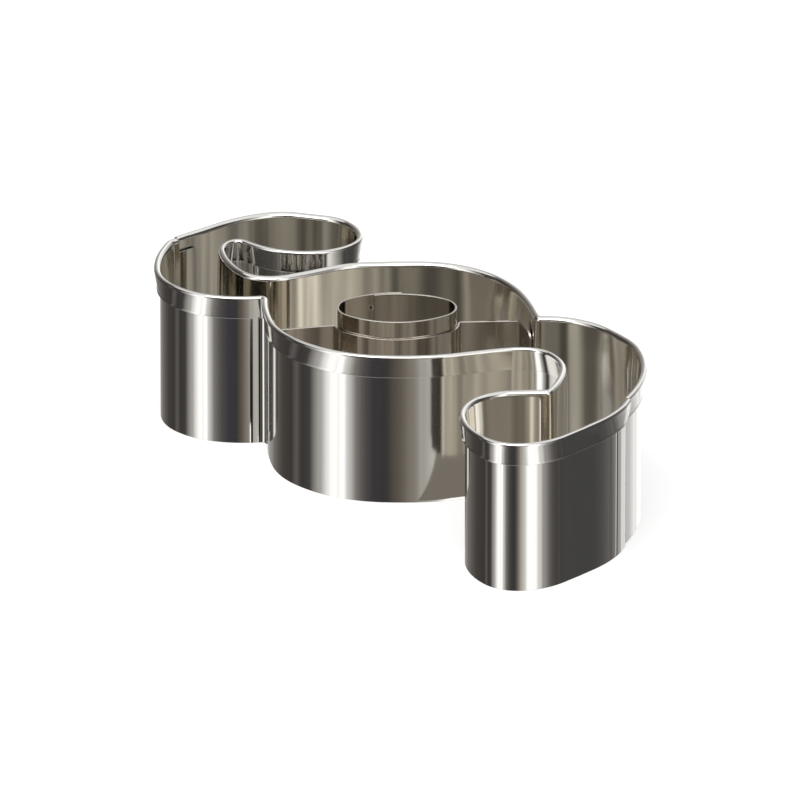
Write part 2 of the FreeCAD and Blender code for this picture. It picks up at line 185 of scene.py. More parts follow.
def station_at(stations, distance):
    """The station at a distance along a line."""
    for a, b in zip(stations, stations[1:]):
        if distance <= span_length(a, b):
            return part_way(a, b, distance / span_length(a, b))
        distance -= span_length(a, b)
    return ahead(stations[-1], distance)


def stretch(stations, start, end):
    """The part of a line between two distances along it."""
    chosen, travelled = [station_at(stations, start)], 0.0
    for a, b in zip(stations, stations[1:]):
        travelled += span_length(a, b)
        if start + SAME_PLACE < travelled < end - SAME_PLACE:
            chosen.append(b)
    return chosen + [station_at(stations, end)]


def distance_to(stations, place):
    """How far along a line one of its stations lies."""
    travelled = 0.0
    for a, b in zip(stations, stations[1:]):
        if distance_between(a, place) < SAME_PLACE:
            break
        travelled += span_length(a, b)
    return travelled


def parallel(stations, distance):
    """The line that runs beside another, to its left."""
    return [aside(station, distance) for station in stations]


def reverse(stations):
    """The same line travelled the other way."""
    return [facing(station, station[2] + 180) for station in reversed(stations)]


# %% [markdown]
# ## The drawing of the sign
# These are the nodes of the rim line in millimetres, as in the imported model: x, y, heading.
# Travel is clockwise seen from above, so the outside is on the left.
# At its waist and inside its lower hook the sign has sharp inward corners, with two headings.
# A joint has two as well: the one at which a strip comes in, and the one of the lap itself.

# %% The nodes of the rim line
HEAD_JOINT = (-6.9, 39.75, 24, 352)
FOOT_JOINT = (4.9, -37.2, 203, 203)
RIGHT_WAIST = (12.9, -10.8, 240, 320)
LEFT_WAIST = (-10.2, 18.4, 47, 147)
RIGHT_NODES = [
    (3.5, 38.8, 346), (10.3, 34.6, 303), (13.5, 28.0, 270), (9.1, 22.5, 180),
    (0.5, 28.3, 117), (-0.7, 32.9, 96), (-2.2, 34.2, 180), (-6.3, 30.0, 249),
    (-7.2, 25.9, 270), (-3.3, 21.1, 340), (7.0, 16.9, 322), (12.2, 12.5, 318),
    (17.1, 1.7, 270), (13.6, -9.5, 240), RIGHT_WAIST, (17.3, -19.9, 270), (16.1, -27.2, 244),
]
LEFT_NODES = [
    (-8.7, -39.9, 180), (-17.2, -33.0, 90), (-9.5, -23.6, 0), (-2.0, -27.6, 317),
    (-1.2, -28.3, 317, 21), (6.5, -19.8, 90), (3.7, -15.5, 147), (-3.2, -11.7, 151),
    (-10.8, -5.7, 134), (-15.9, 6.8, 90), LEFT_WAIST, (-17.0, 29.3, 90),
    (-10.8, 38.3, 32),
]

# %% [markdown]
# ## The hem
# The upper edge of each wall strip is folded out and down, so that a hand can press on it.
# In section the sheet leans out a little from a crease, rolls over, comes down to a tuck
# where it meets the wall, and ends in a raw edge that stands off again.
# The section is a line of stations too: how far out from the rim line, and how high.

# %% The middle of the sheet in section
HEIGHT = 22.0
THICK = 0.3
WALL_INSET = 0.45  # rim line to the outer face of the wall
WALL_MIDDLE = WALL_INSET + THICK / 2
LEAN = 2.0
CREASE_FALL, TUCK_FALL, HEM_FALL = 4.1, 2.9, 3.3  # below the top of the rim
ROLL_INSIDE, ROLL_OUTSIDE = 0.45, 0.22
TUCK_AIR = 0.03  # air left between the wall and the hem at the tuck
RAW_EDGE_FLARE = 0.11  # how much further out the raw edge stands than the tuck
CROWN_FALL = 0.002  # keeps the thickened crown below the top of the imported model
BEND_STEPS = 7

slope = math.tan(math.radians(LEAN))
foot = (-WALL_MIDDLE, 0.0, 90)
crease = (-WALL_MIDDLE, HEIGHT - CREASE_FALL, 90 - LEAN)
shoulder_height = (HEIGHT - CROWN_FALL - THICK / 2
                   - ROLL_INSIDE * (1 - math.cos(math.radians(90 - LEAN))))
shoulder = (crease[0] + (shoulder_height - crease[1]) * slope, shoulder_height, 90 - LEAN)
crown = bent(shoulder, ROLL_INSIDE, LEAN - 90)
wall_at_tuck = crease[0] + (CREASE_FALL - TUCK_FALL) * slope
tuck = (wall_at_tuck + THICK + TUCK_AIR, HEIGHT - TUCK_FALL)
bend_middle = aside(crown, -ROLL_OUTSIDE)
reach = distance_between(bend_middle, tuck)
down = bearing_between(bend_middle, tuck) - math.degrees(math.asin(ROLL_OUTSIDE / reach))
raw_edge = (tuck[0] + RAW_EDGE_FLARE, HEIGHT - HEM_FALL)


def bend_stations(start, radius, turn):
    """The stations round one bend of the section."""
    return [bent(start, radius, turn * step / BEND_STEPS) for step in range(1, BEND_STEPS + 1)]


HEM_SECTION = ([foot, crease, shoulder] + bend_stations(shoulder, ROLL_INSIDE, LEAN - 90)
               + bend_stations(crown, ROLL_OUTSIDE, down) + [tuck, raw_edge])
BEAD_REACH = max(place[0] for place in HEM_SECTION) + THICK / 2
print("hem section:", len(HEM_SECTION), "corners, bead reaches out", round(BEAD_REACH, 3), "mm")

# %% [markdown]
# ## Joints
# The start of a strip lies outside its neighbour and is pressed flat on to it.
# The end of a strip lies inside and runs on as a plain tab below the hem.
# Where two sheets are spot welded, a gap of 0.06 mm stands for their touch, as in the
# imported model, so no two pieces cut into each other.

# %% The two rim lines
TOUCH = 0.06
LAP_STEP = THICK + TOUCH
BUTT_GAP = 0.16  # between the hems of two strips that meet
TAB_SEAT, JOINT_BEND = 0.6, 1.35  # the flat before a tab, and the bend that leads to it
CORNER_BEND = 0.25
BEAD = 0.223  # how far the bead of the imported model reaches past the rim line
CRIMP_LENGTH, CRIMP_TURN, CRIMP_BEND = 1.8, 6.0, 2.0  # the start that is pressed on


def corner_bend(node):
    """The two ends of the bend in an inward corner."""
    x, y, coming, going = node
    half = math.radians(abs(turn_between(coming, going)) / 2)
    tangent = (CORNER_BEND + BEAD) * math.tan(half)
    return [ahead((x, y, coming), -tangent), ahead((x, y, going), tangent)]


def rim_nodes(drawing):
    """The nodes of a drawing, with each inward corner as the ends of its bend."""
    nodes = []
    for node in drawing:
        nodes += corner_bend(node) if len(node) == 4 else [node]
    return nodes


def lap_station(joint):
    """The place of a joint and the heading of its lap."""
    return (joint[0], joint[1], joint[3])


def strip_rim(start, drawing, end):
    """The rim line of a strip from its pressed flat to its last full section."""
    lap = lap_station(start)
    first = facing(aside(lap, LAP_STEP / 2), lap[2] + CRIMP_TURN)
    flat_end = ahead(first, CRIMP_LENGTH)
    settled = bent(flat_end, CRIMP_BEND, -CRIMP_TURN)
    last = ahead(aside(lap_station(end), -LAP_STEP / 2), -BUTT_GAP)
    seat = ahead(last, -TAB_SEAT)
    bend_start = bent(facing(seat, seat[2] + 180), JOINT_BEND, turn_between(seat[2], end[2]))
    arrival = facing(bend_start, bend_start[2] + 180)
    return route([first, flat_end, settled] + rim_nodes(drawing) + [arrival, seat, last])


HEAD, FOOT = lap_station(HEAD_JOINT), lap_station(FOOT_JOINT)
RIGHT_LINE = route([HEAD] + rim_nodes(RIGHT_NODES) + [FOOT])
LEFT_LINE = route([FOOT] + rim_nodes(LEFT_NODES) + [HEAD])
RIGHT_RIM = strip_rim(HEAD_JOINT, RIGHT_NODES, FOOT_JOINT)
LEFT_RIM = strip_rim(FOOT_JOINT, LEFT_NODES, HEAD_JOINT)
print("rim of the sign in mm:", round(route_length(RIGHT_RIM) + route_length(LEFT_RIM), 1))

# %% [markdown]
# ## Sweeping a sheet
# A strip starts as the row of its section's corners, joined by edges, at the first station.
# Spin carries that row round every arc, and Extrude with a move carries it along a line.
# What comes out is one open sheet without thickness, which is easy to trim.

# %% Sweep a row of edges along a line
DEGREES_PER_STEP = 3.0


def section_row(bm, station, section):
    """The corners of a section at a station, joined by edges."""
    verts = []
    for place in section:
        x, y, _ = aside(station, place[0])
        verts.append(bm.verts.new(Vector((x, y, place[1])) * MM))
    return verts, [bm.edges.new(pair) for pair in zip(verts, verts[1:])]


def sweep(bm, row, stations):
    """Carries a row of edges along the stations and returns the last row and the new faces."""
    before = set(bm.faces)
    geom = row
    for a, b in zip(stations, stations[1:]):
        half = half_turn(a, b)
        if half:
            radius = distance_between(a, b) / 2 / math.sin(math.radians(half))
            x, y, _ = aside(a, radius)
            steps = max(1, math.ceil(abs(2 * half) / DEGREES_PER_STEP))
            geom = bmesh.ops.spin(bm, geom=geom, cent=Vector((x, y, 0)) * MM, axis=(0, 0, 1),
                                  angle=math.radians(2 * half), steps=steps)["geom_last"]
        else:
            edges = [item for item in geom if isinstance(item, bmesh.types.BMEdge)]
            made = bmesh.ops.extrude_edge_only(bm, edges=edges)["geom"]
            geom = [item for item in made if not isinstance(item, bmesh.types.BMFace)]
            moved = [item for item in geom if isinstance(item, bmesh.types.BMVert)]
            bmesh.ops.translate(bm, verts=moved, vec=Vector((b[0] - a[0], b[1] - a[1], 0)) * MM)
            geom = moved + [edge for edge in geom if isinstance(edge, bmesh.types.BMEdge)
                            and all(vert in moved for vert in edge.verts)]
    return geom, [face for face in bm.faces if face not in before]


# %% [markdown]
# ## From a sheet to a piece of steel
# Every piece gets the same finish: Solidify gives the sheet its 0.3 mm, half to each side,
# and a narrow Bevel takes the hardness off the sheared edges, as deburring does.
# The sheet could be drawn as a closed shell at once, but then every trim would have to close
# it again. Solidify also gives the inner side a material number of its own, one higher than
# the outer side's, so the two sides of one sheet can differ.

# %% Finish a sheet
TO_MIDDLE = Vector((-0.05, -0.013, 0)) * MM  # the middle of the outline comes to the origin
MERGE = 0.0005  # mm within which the corners of two swept lengths become one
EDGE_SOFTNESS = 0.05
SHARP = 50  # degrees from which an edge is softened


def finish_piece(bm, name, node):
    """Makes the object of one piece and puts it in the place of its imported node."""
    bmesh.ops.translate(bm, verts=bm.verts[:], vec=TO_MIDDLE)
    bmesh.ops.remove_doubles(bm, verts=bm.verts[:], dist=MERGE * MM)
    bmesh.ops.recalc_face_normals(bm, faces=bm.faces[:])
    # An open sheet has no outside that Blender can know, so the place farthest out decides.
    foot_verts = [vert for vert in bm.verts if vert.co.z < MM]
    farthest = max(foot_verts or bm.verts[:], key=lambda vert: abs(vert.co.y))
    if sum(face.normal.y for face in farthest.link_faces) * farthest.co.y < 0:
        bmesh.ops.reverse_faces(bm, faces=bm.faces[:])
    for face in bm.faces:
        face.smooth = True
    mesh = bpy.data.meshes.new(name)
    bm.to_mesh(mesh)
    bm.free()
    piece = bpy.data.objects.new(name, mesh)
    bpy.context.scene.collection.objects.link(piece)
    solidify = piece.modifiers.new("sheet_thickness", "SOLIDIFY")
    solidify.thickness = THICK * MM
    solidify.offset = 0
    solidify.use_even_offset = True
    solidify.material_offset = 1
    bevel = piece.modifiers.new("softened_edges", "BEVEL")
    bevel.width = EDGE_SOFTNESS * MM
    bevel.segments = 2
    bevel.limit_method = "ANGLE"
    bevel.angle_limit = math.radians(SHARP)
    bevel.harden_normals = True
    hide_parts(node)
    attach(piece, "root")
    print(name, "sheet faces:", len(mesh.polygons))
    return piece


# %% [markdown]
# ## Trimming
# On the real cutter the hem is cut back on a slope where its strip is pressed on to the
# next one, and the corners of tabs and strap are snipped round, so that no point sticks out.
# A Boolean could take these corners off the finished steel. Here a plane cuts the open sheet
# before it has a thickness: Bisect leaves a clean edge, and no hole has to be closed.

# %% Trim a sheet
CORNER_RADIUS, CORNER_CUTS = 1.2, 8
CORNER_MIDDLE, CORNER_REACH = 5, 9  # its cuts touch faces within 9 mm of a point 5 mm down
HEM_REACH, ROLL_HEIGHT = 4, 0.7  # a hem's cut touches faces within 4 mm, but not the roll


def cut(bm, faces, place, away):
    """Cuts faces along a plane, removes what lies on its far side and returns the rest."""
    geom = set(faces)
    for face in faces:
        geom.update(face.edges)
        geom.update(face.verts)
    made = bmesh.ops.bisect_plane(bm, geom=list(geom), plane_co=place, plane_no=away,
                                  clear_outer=True)["geom"]
    return [item for item in made if isinstance(item, bmesh.types.BMFace) and item.is_valid]


def upright(station, along, height):
    """A point at a height above a station, a distance along its heading."""
    x, y, _ = ahead(station, along)
    return Vector((x, y, height)) * MM


def near(faces, place, distance):
    """Those of the faces that lie within a distance of a point."""
    return [face for face in faces if (face.calc_center_median() - place).length < distance * MM]


def round_corner(bm, faces, end, top):
    """Rounds the upper corner of a sheet at its end with a fan of cuts."""
    forward = upright((0, 0, end[2]), 1, 0) / MM
    middle = upright(end, -CORNER_RADIUS, top - CORNER_RADIUS)
    left = near(faces, upright(end, 0, top - CORNER_MIDDLE), CORNER_REACH)
    for step in range(1, CORNER_CUTS):
        angle = math.radians(90 * step / CORNER_CUTS)
        away = forward * math.cos(angle) + Vector((0, 0, math.sin(angle)))
        left = cut(bm, left, middle + away * CORNER_RADIUS * MM, away)


def trim_hem(bm, hem, station, run, rise):
    """Cuts the corner off the lower edge of the hem, along a slope of that run and rise."""
    raw = HEIGHT - HEM_FALL
    low, high = upright(station, run, raw), upright(station, 0, raw + rise)
    sideways = upright(aside((0, 0, station[2]), 1), 0, 0)
    away = (high - low).cross(sideways).normalized()
    if away.z > 0:
        away.negate()
    roll_foot = (HEIGHT - ROLL_HEIGHT) * MM
    falling = [face for face in near(hem, low, HEM_REACH)
               if face.calc_center_median().z < roll_foot]
    cut(bm, falling, low, away)


# %% [markdown]
# ## The wall strips
# The hemmed section is swept along the rim line in two goes, wall and hem, so that the
# hem's faces can have a material number of their own: the side of the sheet that is the
# satin inside of the wall comes out as the bright rim, once it has rolled over.
# The tab is swept from a plain section of its own, from the end of the rim into the lap.

# %% Build both wall strips
LAP_LENGTH, LAP_FALL = 3.2, 1.8  # the tab in the lap, and its top below the rim
TRIM_RUN, TRIM_RISE, NICK = 1.2, 0.9, 0.5  # the hem's slope at its start, its nick at the end


def wall_strip(name, node, rim, next_line):
    """A hemmed wall with its tab. The hem's faces get a material number of their own."""
    bm = bmesh.new()
    for number, section in enumerate((HEM_SECTION[:3], HEM_SECTION[2:])):
        verts, edges = section_row(bm, rim[0], section)
        _, swept = sweep(bm, verts + edges, rim)
        for face in swept:
            face.material_index = number
    trim_hem(bm, swept, rim[0], TRIM_RUN, TRIM_RISE)
    trim_hem(bm, [face for face in swept if face.is_valid], rim[-1], -NICK, NICK)
    lapped = parallel(stretch(next_line, 0, LAP_LENGTH), -LAP_STEP / 2)
    tab_section = [foot, (crease[0], crease[1]), (crease[0], HEIGHT - LAP_FALL)]
    verts, edges = section_row(bm, rim[-1], tab_section)
    _, tab_faces = sweep(bm, verts + edges, [rim[-1]] + lapped)
    round_corner(bm, tab_faces, aside(lapped[-1], -WALL_MIDDLE), HEIGHT - LAP_FALL)
    return finish_piece(bm, name, node)


right_wall = wall_strip("right_wall", "right_wall_strip", RIGHT_RIM, LEFT_LINE)
left_wall = wall_strip("left_wall", "left_wall_strip", LEFT_RIM, RIGHT_LINE)

# %% [markdown]
# ## The ring
# The hole of the sign is cut by a plain oval ring, bent round so that its inner end laps under
# its outer one. The oval is four arcs: two tight ends and two long sides.

# %% Stations of the oval
RING = (1.1, 4.4, -42.0)  # its middle, and the heading of its long axis
RING_LENGTH, RING_WIDTH, RING_END = 16.1, 9.4, 3.1  # outside, and its tight end's radius
RING_LAP, SEAM_OFFSET, RING_FALL = 3.8, 3.15, 0.3

half_length = (RING_LENGTH - THICK) / 2
half_width = (RING_WIDTH - THICK) / 2
end_radius = RING_END - THICK / 2
side_radius = ((half_length ** 2 + half_width ** 2 - 2 * half_length * end_radius)
               / (2 * (half_width - end_radius)))


def ring_back(x):
    """The station on the long back side of the oval, x along its axis."""
    y = math.sqrt(side_radius ** 2 - x ** 2) - side_radius + half_width
    return (x, y, -math.degrees(math.asin(x / side_radius)))


def on_ring(station):
    """A station of the oval, carried to the place and tilt of the ring."""
    x, y, _ = aside(ahead(RING, station[0]), station[1])
    return (x, y, RING[2] + station[2])


join = (half_length - end_radius) * side_radius / (side_radius - end_radius)
join_x, join_y, join_turn = ring_back(join)
LOWER_END = [(join_x, join_y, join_turn), (half_length, 0, -90),
             (join_x, -join_y, -180 - join_turn)]
UPPER_END = [(-x, -y, heading - 180) for x, y, heading in LOWER_END]
print("radii of the oval in mm:", round(side_radius, 2), "and", round(end_radius, 2))

# %% Build the ring
seam = -SEAM_OFFSET
inner_lap = [aside(ring_back(x), -LAP_STEP) for x in (seam, seam + RING_LAP)]
ring_line = route([on_ring(place) for place in inner_lap + LOWER_END + UPPER_END
                   + [ring_back(seam + RING_LAP)]])
bm = bmesh.new()
verts, edges = section_row(bm, ring_line[0], [(0, 0), (0, HEIGHT - RING_FALL)])
sweep(bm, verts + edges, ring_line)
ring = finish_piece(bm, "oval_ring", "centre_ring")

# %% [markdown]
# ## The strap
# A flat strap below the rim runs from wall to wall, hugs the front of the ring and is spot
# welded to all three. Its two feet lie flat against the walls.

# %% Stations of the strap
STRAP_HEIGHT, STRAP_FALL, STRAP_BEND = 10.0, 2.7, 0.55
FOOT_LENGTH, FOOT_SETBACK, FOOT_LIFT = 4.4, 0.1, 0.5
UPPER_RELEASE, LOWER_RELEASE = 1.2, 0.2  # how much earlier the strap leaves the ring
OVERSHOOT = 1.3 * STRAP_BEND  # the straight on which the strap leaves it


def rounded(places, radius):
    """A run of straight lines with its corners rounded, as stations."""
    stations = [facing(places[0], bearing_between(places[0], places[1]))]
    for before, corner, after in zip(places, places[1:], places[2:]):
        coming = facing(corner, bearing_between(before, corner))
        going = facing(corner, bearing_between(corner, after))
        tangent = radius * math.tan(math.radians(abs(turn_between(coming[2], going[2])) / 2))
        stations += [ahead(coming, -tangent), ahead(going, tangent)]
    return stations + [facing(places[-1], bearing_between(places[-2], places[-1]))]


def strap_foot(line, waist):
    """The end of the strap and its bend, inside a wall that comes up to its waist corner."""
    end_distance = distance_to(line, corner_bend(waist)[0]) - FOOT_SETBACK
    touching = WALL_INSET + THICK + TOUCH + THICK / 2
    end = aside(station_at(line, end_distance), -touching)
    bend = aside(station_at(line, end_distance - FOOT_LENGTH), -touching - FOOT_LIFT)
    return end, bend


# %% Build the strap
front = route([on_ring(place) for place in LOWER_END[1:] + UPPER_END[:2]])
hug = reverse(parallel(front, THICK + TOUCH))
hug = stretch(hug, UPPER_RELEASE, route_length(hug) - LOWER_RELEASE)
upper_end, upper_bend = strap_foot(LEFT_LINE, LEFT_WAIST)
lower_end, lower_bend = strap_foot(RIGHT_LINE, RIGHT_WAIST)
upper = rounded([upper_end, upper_bend, ahead(hug[0], -OVERSHOOT), hug[0]], STRAP_BEND)
lower = rounded([hug[-1], ahead(hug[-1], OVERSHOOT), lower_bend, lower_end], STRAP_BEND)
strap_line = upper[:-1] + hug + lower[1:]
strap_top = HEIGHT - STRAP_FALL
bm = bmesh.new()
verts, edges = section_row(bm, strap_line[0], [(0, strap_top - STRAP_HEIGHT), (0, strap_top)])
_, strap_faces = sweep(bm, verts + edges, strap_line)
first_end = facing(strap_line[0], strap_line[0][2] + 180)
round_corner(bm, strap_faces, first_end, strap_top)
round_corner(bm, bm.faces[:], strap_line[-1], strap_top)
strap = finish_piece(bm, "flat_strap", "ring_strap")

# %% [markdown]
# ## Nodes and colours
# A finish is a tree of shader nodes. One small function adds a node with its settings and its
# links, so each tree reads as a list of what it is made of.
# Colours are written as the hex codes that a paint program shows. The shader wants them
# linear, so one function turns them. A pattern's scale counts cells per metre, and a
# third function works it out from the size of one cell in millimetres.

# %% Helpers for all materials
def linear(code):
    """The linear colour of an sRGB hex value."""
    parts = [int(code[i:i + 2], 16) / 255 for i in (1, 3, 5)]
    return [v / 12.92 if v <= 0.04045 else ((v + 0.055) / 1.055) ** 2.4 for v in parts] + [1.0]


def add(tree, kind, settings=None, **sockets):
    """Adds a node, sets its properties and fills or links its sockets by name."""
    node = tree.nodes.new(kind)
    for name, value in (settings or {}).items():
        setattr(node, name, value)
    for name, value in sockets.items():
        key = int(name[1:]) if name[0] == "_" else name.replace("_", " ")
        socket = node.inputs[key]
        if isinstance(value, bpy.types.NodeSocket):
            tree.links.new(value, socket)
        else:
            socket.default_value = value
    return node


def new_material(name):
    """An empty material with its node tree."""
    material = bpy.data.materials.new(name)
    material.use_nodes = True
    material.node_tree.nodes.clear()
    return material, material.node_tree


def upright_cells(across, tall):
    """The scale of a pattern whose cells measure so many mm across and upright."""
    return (1 / (across * MM), 1 / (across * MM), 1 / (tall * MM))


# %% [markdown]
# ## Marks of bending and welding
# Where the strips were bent with pliers, fine creases run up the wall, and each spot weld
# has left a small pit. These marks are shallower than the sheet is thick, so they change no
# outline. They could be pushed into the mesh. As dents in the height that the Bump node
# reads they stay sharp without a finer mesh. Their middles are tinted: in the creases and
# at the lap the tint is painted shade, in the weld pits it stands for grime.

# %% Dents in a material
SHADE_AND_GRIME_TINT = "#3A3632"
# The tint of the dents' middles: painted shade in the creases and at the lap, grime in the weld
# pits.
# Each dent: x, y, z of the middle, half width, half height and depth in mm.
# The first three are at the foot joint, the other two at the left waist.
BEND_MARKS = [
    (4.72, -36.97, 6.0, 0.35, 40.0, 0.06), (1.9, -38.36, 6.0, 0.25, 40.0, 0.05),
    (4.98, -37.5, 18.9, 0.5, 1.2, 0.05),
    (-11.35, 19.75, 6.0, 0.22, 40.0, 0.04), (-10.5, 19.1, 6.0, 0.22, 40.0, 0.05),
]
WELD_MARKS = [(13.0, -8.0, 17.1, 0.6, 0.6, 0.15), (1.1, 9.7, 19.8, 0.5, 0.5, 0.12)]


def dented(tree, place, height, marks, wave):
    """Takes dents out of a height that counts in waves. Also returns how deep a tint their middles
    get: painted shade at the creases and the lap, grime at the weld pits.
    """
    shade_and_grime = 0.0
    for x, y, z, width, rise, depth in marks:
        spot = add(tree, "ShaderNodeMapping", {"vector_type": "TEXTURE"}, Vector=place,
                   Location=(x * MM, y * MM, z * MM), Scale=(width * MM, width * MM, rise * MM))
        dent = add(tree, "ShaderNodeTexGradient", {"gradient_type": "SPHERICAL"},
                   Vector=spot.outputs["Vector"]).outputs["Fac"]
        height = add(tree, "ShaderNodeMath", {"operation": "MULTIPLY_ADD"}, _0=dent,
                     _1=-depth / wave, _2=height).outputs["Value"]
        middle = add(tree, "ShaderNodeMapRange", Value=dent, From_Min=0.3, From_Max=0.7)
        shade_and_grime = add(tree, "ShaderNodeMath", {"operation": "MAXIMUM"}, _0=shade_and_grime,
                   _1=middle.outputs["Result"]).outputs["Value"]
    return height, shade_and_grime


# %% [markdown]
# ## Bright steel
# The strips are thin cold-rolled steel with a bright, slightly warm finish. Its colour comes
# from what it mirrors, so it is fully metallic, and its base colour is close to white.
# Real rolling lines are a few hundredths of a millimetre apart, too fine for this picture.
# They are drawn 1.1 mm wide and 40 mm tall, just coarse enough to show, and they blur a
# mirror image unevenly. Broad shallow waves, 4.3 mm wide and 71 mm tall, bend it into the
# long upright streaks that tell the eye this is thin sheet and not a thick, flat bar.
# Three finishes differ a little: the outside is the clearest mirror, the inside is wavier
# and a shade warmer, and the ring and its strap are of a rougher sheet whose greyer colour
# is painted shade.

# %% Cold-rolled bright steel
ROLLING_LINE = (1.111, 40)  # mm across and upright
ROLLING_DEPTH = 0.02
SWELL = (4.348, 71.43)


def steel(name, colour, roughness, wave, marks=()):
    """Rolled steel: its colour, its range of roughness, and the depth of its waves in mm."""
    material, tree = new_material(name)
    place = add(tree, "ShaderNodeTexCoord").outputs["Object"]
    drawn = add(tree, "ShaderNodeMapping", Vector=place, Scale=upright_cells(*ROLLING_LINE))
    grain = add(tree, "ShaderNodeTexNoise", Vector=drawn.outputs["Vector"], Scale=1.0,
                Detail=3.0).outputs["Fac"]
    wavy = add(tree, "ShaderNodeMapping", Vector=place, Scale=upright_cells(*SWELL))
    swell = add(tree, "ShaderNodeTexNoise", Vector=wavy.outputs["Vector"], Scale=1.0,
                Detail=1.0).outputs["Fac"]
    tone = linear(colour)
    if marks:
        swell, shade_and_grime = dented(tree, place, swell, marks, wave)
        # Dents tint the colour in their middles: painted shade for the creases and the lap, grime
        # for the welds.
        # The Mix node has sockets for every kind of value: 6 and 7 are its two colours.
        tone = add(tree, "ShaderNodeMix", {"data_type": "RGBA"}, _0=shade_and_grime, _6=tone,
                   _7=linear(SHADE_AND_GRIME_TINT)).outputs[2]
    waves = add(tree, "ShaderNodeBump", Height=swell, Strength=1.0, Distance=wave * MM)
    bump = add(tree, "ShaderNodeBump", Height=grain, Strength=0.05,
               Distance=ROLLING_DEPTH * MM, Normal=waves.outputs["Normal"]).outputs["Normal"]
    rough = add(tree, "ShaderNodeMapRange", Value=grain, To_Min=roughness[0],
                To_Max=roughness[1]).outputs["Result"]
    shader = add(tree, "ShaderNodeBsdfPrincipled", Base_Color=tone, Metallic=1.0,
                 Roughness=rough, Normal=bump)
    add(tree, "ShaderNodeOutputMaterial", Surface=shader.outputs["BSDF"])
    print(name, "nodes:", len(tree.nodes))
    return material


# Clear mirror: a bright strip or a dark one is seen with a soft edge.
bright_outside = steel("bright_rolled_steel", "#E0DEDA", (0.07, 0.14), 0.012, BEND_MARKS)
# The inside of the bends: deeper waves, so what it mirrors breaks up into streaks.
satin_inside = steel("satin_inner_steel", "#E0DCD3", (0.07, 0.14), 0.02)
# A little blurrier, which sets the ring and its strap off from the walls, and greyer: the grey
# is painted shade, for the shade in which ring and strap stand between the walls.
ring_and_strap_steel_painted_shade = steel("dull_ring_and_strap_steel_painted_shade", "#CFC9C0", (0.08, 0.15), 0.015, WELD_MARKS)

# %% Give every piece its steel
# Numbers: 0 the outside, 1 the inside and the hidden side of the hem, 2 the rim in view.
for wall in (right_wall, left_wall):
    for finish in (bright_outside, satin_inside, bright_outside):
        wall.data.materials.append(finish)
for band in (ring, strap):
    band.data.materials.append(ring_and_strap_steel_painted_shade)
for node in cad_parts.values():
    node.data.materials.clear()
    node.data.materials.append(bright_outside)

# %% [markdown]
# ## The studio
# A bright metal object shows its surroundings, so they decide its looks. The photograph has
# white paper below and behind the cutter, and the steel shows cards and flags that stand
# out of view. Here too the camera sees only white paper in a white room, and reflections
# see panels and cards that the camera doesn't. An image of a room could wrap the scene
# instead, but a panel or card is easier to shift until its streak falls in the right place.
# The wide floor is hidden from reflections, or the foot of every wall would mirror a glaring
# sheet of white. A small paper inside the cutter takes its place there. It has a few pools
# of light, where light comes down between the walls.

# %% Floor
def stage_object(name, bm, material):
    """An object of the studio, which isn't part of the cutter."""
    mesh = bpy.data.meshes.new(name)
    bm.to_mesh(mesh)
    bm.free()
    thing = bpy.data.objects.new(name, mesh)
    bpy.context.scene.collection.objects.link(thing)
    mesh.materials.append(material)
    print("stage:", name)
    return thing


FLOOR_HALF_WIDTH = 4.0  # in metres, far beyond the edges of the picture
FLOOR_FALL, PAPER_FALL = 0.02, 0.01  # how far floor and paper lie below the cutting edge
PAPER_GREY = "#C0C0C0"  # not full white, so that a shadow can show on it
PAPER_SHADE = 0.14  # how bright reflections see the paper between its pools of light
CAMERA_WHITE = 0.55  # what lifts the paper to white for the camera
# Pools of light: x, y, half length, half width in mm, turn in degrees, and brightness.
POOLS = [
    (4, 14, 14, 7, -40, 0.6), (-11, 4, 9, 14, 0, 0.4), (1, 4, 7, 5, -42, 0.2),
    (13, -24, 7, 9, 0, 0.3), (-14, -31, 6, 8, 0, 1.0), (2, -30, 8, 6, 30, 0.3),
]
paper, tree = new_material("white_paper")
rays = add(tree, "ShaderNodeLightPath").outputs
place = add(tree, "ShaderNodeTexCoord").outputs["Object"]
level = PAPER_SHADE
for x, y, length, width, turn, brightness in POOLS:
    spot = add(tree, "ShaderNodeMapping", {"vector_type": "TEXTURE"}, Vector=place,
               Location=(x * MM, y * MM, 0), Rotation=(0, 0, math.radians(turn)),
               Scale=(length * MM, width * MM, 1)).outputs["Vector"]
    pool = add(tree, "ShaderNodeTexGradient", {"gradient_type": "SPHERICAL"}, Vector=spot)
    level = add(tree, "ShaderNodeMath", {"operation": "MULTIPLY_ADD"}, _0=pool.outputs["Fac"],
                _1=brightness, _2=level).outputs["Value"]
camera_level = add(tree, "ShaderNodeMath", {"operation": "MULTIPLY"}, _0=rays["Is Camera Ray"],
                   _1=CAMERA_WHITE)
glow_level = add(tree, "ShaderNodeMath", {"operation": "MULTIPLY_ADD"}, _0=rays["Is Glossy Ray"],
                 _1=level, _2=camera_level.outputs["Value"])
matt = add(tree, "ShaderNodeBsdfDiffuse", Color=linear(PAPER_GREY))
glow = add(tree, "ShaderNodeEmission", Color=(1, 1, 1, 1), Strength=glow_level.outputs["Value"])
both = add(tree, "ShaderNodeAddShader", _0=matt.outputs["BSDF"], _1=glow.outputs["Emission"])
add(tree, "ShaderNodeOutputMaterial", Surface=both.outputs["Shader"])
bm = bmesh.new()
bmesh.ops.create_grid(bm, size=FLOOR_HALF_WIDTH)
bmesh.ops.translate(bm, verts=bm.verts[:], vec=(0, 0, -FLOOR_FALL * MM))
floor = stage_object("floor", bm, paper)
floor.visible_glossy = False

